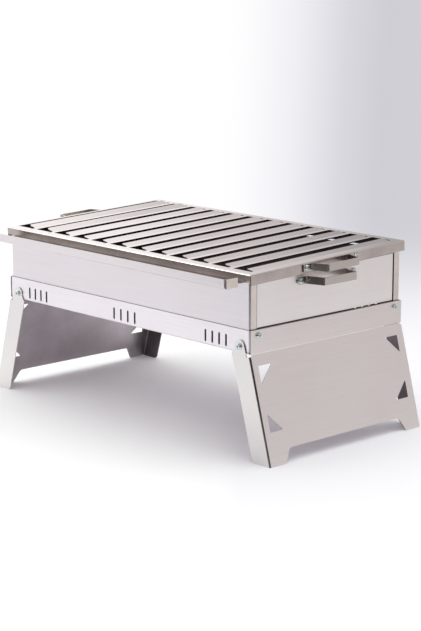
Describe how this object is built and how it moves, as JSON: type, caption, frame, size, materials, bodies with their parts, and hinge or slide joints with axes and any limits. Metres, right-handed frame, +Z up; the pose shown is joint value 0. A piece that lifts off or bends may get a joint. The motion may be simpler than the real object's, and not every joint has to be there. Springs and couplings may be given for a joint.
{
  "type": "folding charcoal grill",
  "caption": "Stainless tabletop charcoal grill with folding leg panels, a charcoal drawer, a slotted grate and a front grease tray.",
  "frame": {"origin": "centre of the bounding box at the table, between the feet", "axes": "+X towards the drawer end, -Y towards the grease tray, +Z up"},
  "size_m": [0.5654, 0.3292, 0.2513],
  "materials": {
    "stainless_sheet": "fine brushed",
    "stainless_end": "fine brushed",
    "grate_stainless": "polished",
    "inner_steel": "heat dulled",
    "strap_steel": "satin",
    "fastener_zinc": "zinc plated"
  },
  "bodies": {
    "body": {"base_housing": "stainless_sheet", "base_end_left": "stainless_end", "base_end_right": "stainless_end", "base_end_screws": "fastener_zinc", "base_end_nuts": "fastener_zinc", "firebox_shell": "stainless_sheet", "drawer_runner_front": "inner_steel", "drawer_runner_rear": "inner_steel", "leg_pivot_screws": "fastener_zinc", "leg_pivot_nuts": "fastener_zinc"},
    "left_leg": {"leg_left": "stainless_end"},
    "right_leg": {"leg_right": "stainless_end"},
    "drawer": {"charcoal_drawer": "inner_steel", "drawer_front": "stainless_end", "drawer_handle": "strap_steel", "drawer_handle_screws": "fastener_zinc", "drawer_handle_nuts": "fastener_zinc"},
    "grate": {"grill_grate": "grate_stainless", "grate_handle_left": "strap_steel", "grate_handle_right": "strap_steel", "grate_handle_screws": "fastener_zinc", "grate_handle_nuts": "fastener_zinc"},
    "tray": {"grease_tray": "stainless_sheet"}
  },
  "joints": [
    {"name": "leg_right_fold", "type": "hinge", "parent": "body", "child": "right_leg", "pos_m": [0.2265, 0.02029, 0.1454], "axis": [0, 1, 0], "range_deg": [0, 105]},
    {"name": "leg_left_fold", "type": "hinge", "parent": "body", "child": "left_leg", "pos_m": [-0.2265, 0.02029, 0.1454], "axis": [0, -1, 0], "range_deg": [0, 105]},
    {"name": "drawer_slide", "type": "slide", "parent": "body", "child": "drawer", "axis": [1, 0, 0], "range_m": [0, 0.35]},
    {"name": "grate_lift", "type": "slide", "parent": "body", "child": "grate", "axis": [0, 0, 1], "range_m": [0, 0.1]},
    {"name": "grease_tray_pull", "type": "slide", "parent": "body", "child": "tray", "axis": [0, -1, 0], "range_m": [0, 0.06]}
  ]
}
